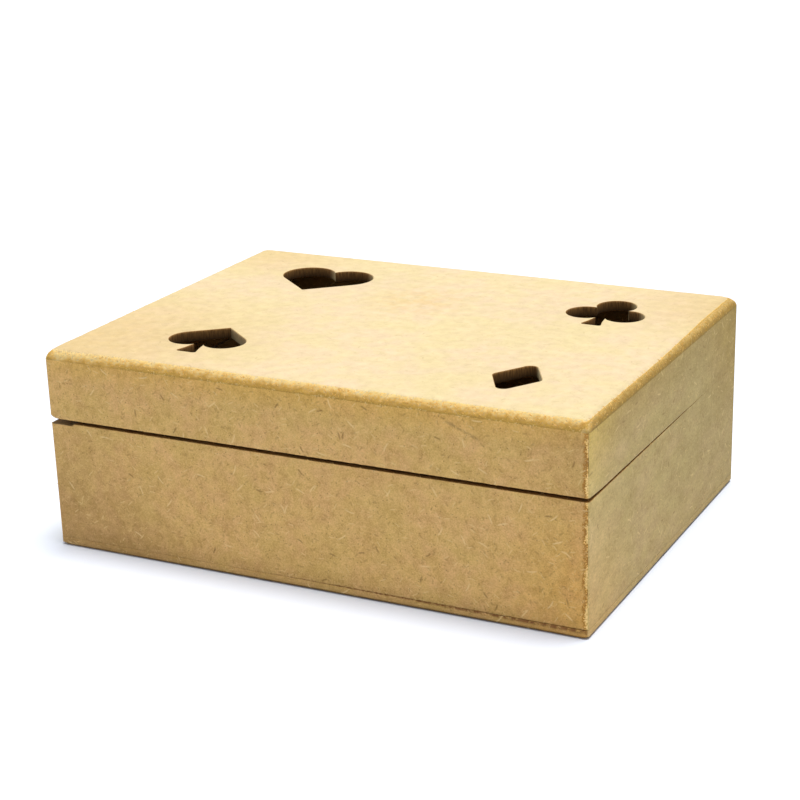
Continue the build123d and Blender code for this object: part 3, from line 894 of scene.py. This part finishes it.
fibreMargin = 0.03 * mm  # ends that would stand outside the box go under its surface
fibreTuft = {"Density": 3.0 / mm ** 2, "Length": 0.6 * mm, "Thickness": 0.058 * mm, "Seed": 7,
             "Low": tuple(c + fibreMargin for c in cadBox[0]),
             "High": tuple(c - fibreMargin for c in cadBox[1]), "Material": makeLooseFibre(fibreLook)}
raisedFibres, add, given = newTree("raisedFibres", fibreTuft)
share = add("InputNamedAttribute", "fibreShare", data_type="FLOAT")
density = add("Math MULTIPLY", share, given["Density"])
spots = add("DistributePointsOnFaces", given["Geometry"],
            {"Density": density, "Seed": given["Seed"]}).outputs
bow = add("CurveQuadraticBezier", 4, (-0.5, 0, -0.05), (0, 0.22, 0.05), (0.5, 0, -0.04))
fromMiddle = add("Math SUBTRACT", add("SplineParameter"), 0.5)
taper = add("Math MULTIPLY_ADD", add("Math MULTIPLY", fromMiddle, fromMiddle), -2.8, 1.0)
section = add("CurvePrimitiveCircle", 4, add("Math DIVIDE", given["Thickness"], given["Length"]))
strand = add("CurveToMesh", add("SetCurveRadius", bow, {"Radius": taper}), section,
             {"Fill Caps": True})
spin, size = (add("RandomValue", least, most, {"Seed": given["Seed"]}, data_type="FLOAT")
              for least, most in ((0.0, 2 * math.pi), (0.45, 1.3)))
lying = add("RotateRotation", spots["Rotation"], add("AxisAngleToRotation", (0, 0, 1), spin),
            rotation_space="LOCAL")
length = add("Math MULTIPLY", size, given["Length"])
fibres = add("InstanceOnPoints", spots["Points"],
             {"Instance": strand, "Rotation": lying, "Scale": length})
kept = add("VectorMath MAXIMUM", add("InputPosition"), given["Low"])
kept = add("VectorMath MINIMUM", kept, given["High"])
moved = add("SetPosition", add("RealizeInstances", fibres), {"Position": kept})
endTree(add, moved, given["Material"])


def fibreShare(x, y, z, body, side):
    # where fibres stand: most along the start of the routed edge, fewer down it, some on the saw's edges
    outer = max(abs(x) - halfLength, abs(y) - halfDepth)
    if side is None:
        drop = boxTop - z
        if outer < -panelShape["roundOver"] or drop < 0.45 or z < panelLow.z + 0.3:
            return 0.0
        return (1.0 if drop < 1.1 else 0.35) * (0.3 if x < 3 - halfLength else 1.0)
    rim = baseRim(side, x) if body == "base" else lidRim(side, x, y)
    return 0.2 if outer > -0.35 and abs(z - rim) < 0.25 else 0.0


def fibreHost(body):
    bm = bmesh.new()
    share = bm.verts.layers.float.new("fibreShare")
    names = [(f"{body}_{side}_board", side) for side in sides]
    for name, side in names + ([("lid_top_panel", None)] if body == "lid" else []):
        known = len(bm.verts)
        bm.from_mesh(bpy.data.objects[name].data)
        bm.verts.ensure_lookup_table()
        for vert in bm.verts[known:]:
            vert[share] = fibreShare(*(vert.co / mm), body, side)
    still = [v for v in bm.verts if all(w[share] == 0 for f in v.link_faces for w in f.verts)]
    bmesh.ops.delete(bm, geom=still, context="VERTS")
    host = bpy.data.meshes.new("host")
    bm.to_mesh(host)
    bm.free()
    return host


for body in ("base", "lid"):
    fibres = bakeTree(f"{body}_raised_fibres", fibreHost(body), raisedFibres, fibreTuft)
    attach(fibres, body)
print("fibres made")


# Hinges: sheet brass leaves with their stamped edges eased, and wire pins
hingeShape = {"leafEdge": 0.07, "sharpFrom": 40, "flatTo": 0.6}  # angles in degrees


def copyOfNode(name, nodeName, material, edge=0.0):
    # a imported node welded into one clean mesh, with its sharp edges eased
    bm = bmesh.new()
    bm.from_mesh(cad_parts[nodeName].data)
    bmesh.ops.remove_doubles(bm, verts=bm.verts, dist=1e-6)
    if edge > 0:
        flat = math.radians(hingeShape["flatTo"])
        bmesh.ops.dissolve_limit(bm, angle_limit=flat, verts=bm.verts, edges=bm.edges)
        limit = math.radians(hingeShape["sharpFrom"])
        sharp = [e for e in bm.edges if len(e.link_faces) == 2 and e.calc_face_angle(0) > limit]
        bmesh.ops.bevel(bm, geom=sharp, offset=edge * mm, offset_type="OFFSET", segments=2, profile=0.5,
                        affect="EDGES", clamp_overlap=True)
    return finishMesh(name, bm, (material,))


for side in ("left", "right"):
    for body in ("base", "lid"):
        leaf = copyOfNode(f"hinge_{body}_{side}_leaf", f"hinge_leaf_{body}_{side}", brass["leaf"],
                          hingeShape["leafEdge"])
        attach(leaf, body)
        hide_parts(f"hinge_leaf_{body}_{side}")
    pin = copyOfNode(f"hinge_{side}_wire", f"hinge_pin_{side}", brass["wire"])
    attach(pin, "base")
    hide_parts(f"hinge_pin_{side}")
print("hinges made")


# Domed nails, each hammered home with its own turn
nailShape = {"Head Radius": 1.3 * mm, "Head Height": 0.55 * mm, "Rim": 0.03 * mm, "Shank Radius": 0.6 * mm,
             "Shank Length": 4.8 * mm, "Seed": 3, "Material": brass["nail"]}
domedNails, add, given = newTree("domedNails", nailShape)
ball = add("MeshUVSphere", 28, 16, 1.0)
axes = add("SeparateXYZ", add("InputPosition")).outputs
# a hammered dome is fuller than half a ball; the underside is nearly flat
full = add("Math MULTIPLY", add("Math MAXIMUM", axes["Z"], 0.0), given["Head Height"])
flat = add("Math MULTIPLY_ADD", add("Math MINIMUM", axes["Z"], 0.0), given["Rim"], full)
top = add("Math MINIMUM", add("Math ADD", flat, given["Rim"]), given["Head Height"])
wide, deep = (add("Math MULTIPLY", axes[name], given["Head Radius"]) for name in ("X", "Y"))
head = add("SetPosition", ball, {"Position": add("CombineXYZ", wide, deep, top)})
shank = add("MeshCone", 16, 4, {"Radius Top": given["Shank Radius"],
                                "Radius Bottom": add("Math MULTIPLY", given["Shank Radius"], 0.12),
                                "Depth": given["Shank Length"]})
sunk = add("CombineXYZ", {"Z": add("Math MULTIPLY", given["Shank Length"], -1.0)})
nail = add("JoinGeometry", head)
setInputs(nail, {0: add("Transform", shank, sunk)})
spin = add("RandomValue", 0.0, 2 * math.pi, {"Seed": given["Seed"]}, data_type="FLOAT")
rotation = add("EulerToRotation", add("CombineXYZ", -math.pi / 2, spin))
nails = add("InstanceOnPoints", given["Geometry"], {"Instance": nail, "Rotation": rotation})
endTree(add, nails, given["Material"])


def nailPlaces(node):
    # foot of each nail's head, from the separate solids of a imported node
    places = np.array([v.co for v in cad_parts[node].data.vertices]) / mm
    groups = []
    for x in sorted({round(float(x), 2) for x, y, z in places if y > halfDepth + 1.1}):
        if not groups or x - groups[-1][-1] > 3:
            groups.append([])
        groups[-1].append(x)
    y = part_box(node)[1].y - nailShape["Head Height"]
    z = float(places[:, 2].min() + places[:, 2].max()) / 2 * mm
    mesh = bpy.data.meshes.new("places")
    mesh.from_pydata([((g[0] + g[-1]) / 2 * mm, y, z) for g in groups], [], [])
    return mesh


for body in ("base", "lid"):
    nails = bakeTree(f"hinge_{body}_nails", nailPlaces(f"hinge_nails_{body}"), domedNails, nailShape)
    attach(nails, body)
    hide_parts(f"hinge_nails_{body}")
print("nails made")


studioLook = {
    "floorReach": 4.0,  # metres
    "floorColour": "#dfe4f1", "floorRoughness": 0.8,
    "roomTint": (0.9, 0.95, 1, 1), "roomStrength": 0.42,
    "lampColour": (1.0, 1.0, 0.97),
    # name, angle across in degrees, strength and direction
    "lamps": (("broadSoftLight", 27, 3.63, (-0.1, -0.06, -1.0)),
              ("lowLeftLight", 30, 0.6, (1.0, 0.0, -0.35))),
}
reach = studioLook["floorReach"]
mesh = bpy.data.meshes.new("paleFloor")
mesh.from_pydata([(x * reach, y * reach, 0) for x, y in corners.values()], [], [(0, 1, 2, 3)])
paint, add, shader = newMaterial("paleFloorPaint")
setInputs(shader, {"Base Color": studioLook["floorColour"], "Roughness": studioLook["floorRoughness"]})
mesh.materials.append(paint)
floor = newObject("paleFloor", mesh)

# the room is white to the camera, and a dimmer, cooler light on the object
scene.world = bpy.data.worlds.new("whiteRoom")
scene.world.use_nodes = True
add = partial(addNode, scene.world.node_tree)
seen = add("LightPath").outputs["Is Camera Ray"]
setInputs(scene.world.node_tree.nodes["Background"], {
    "Color": add("Mix", seen, studioLook["roomTint"], (1, 1, 1, 1), data_type="RGBA"),
    "Strength": add("MapRange", seen, 0.0, 1.0, studioLook["roomStrength"], 1.0)})
for name, angle, energy, direction in studioLook["lamps"]:
    light = bpy.data.lights.new(name, "SUN")
    light.angle, light.energy, light.color = math.radians(angle), energy, studioLook["lampColour"]
    newObject(name, light).rotation_euler = Vector(direction).to_track_quat("-Z", "Y").to_euler()
print("floor and lights made")
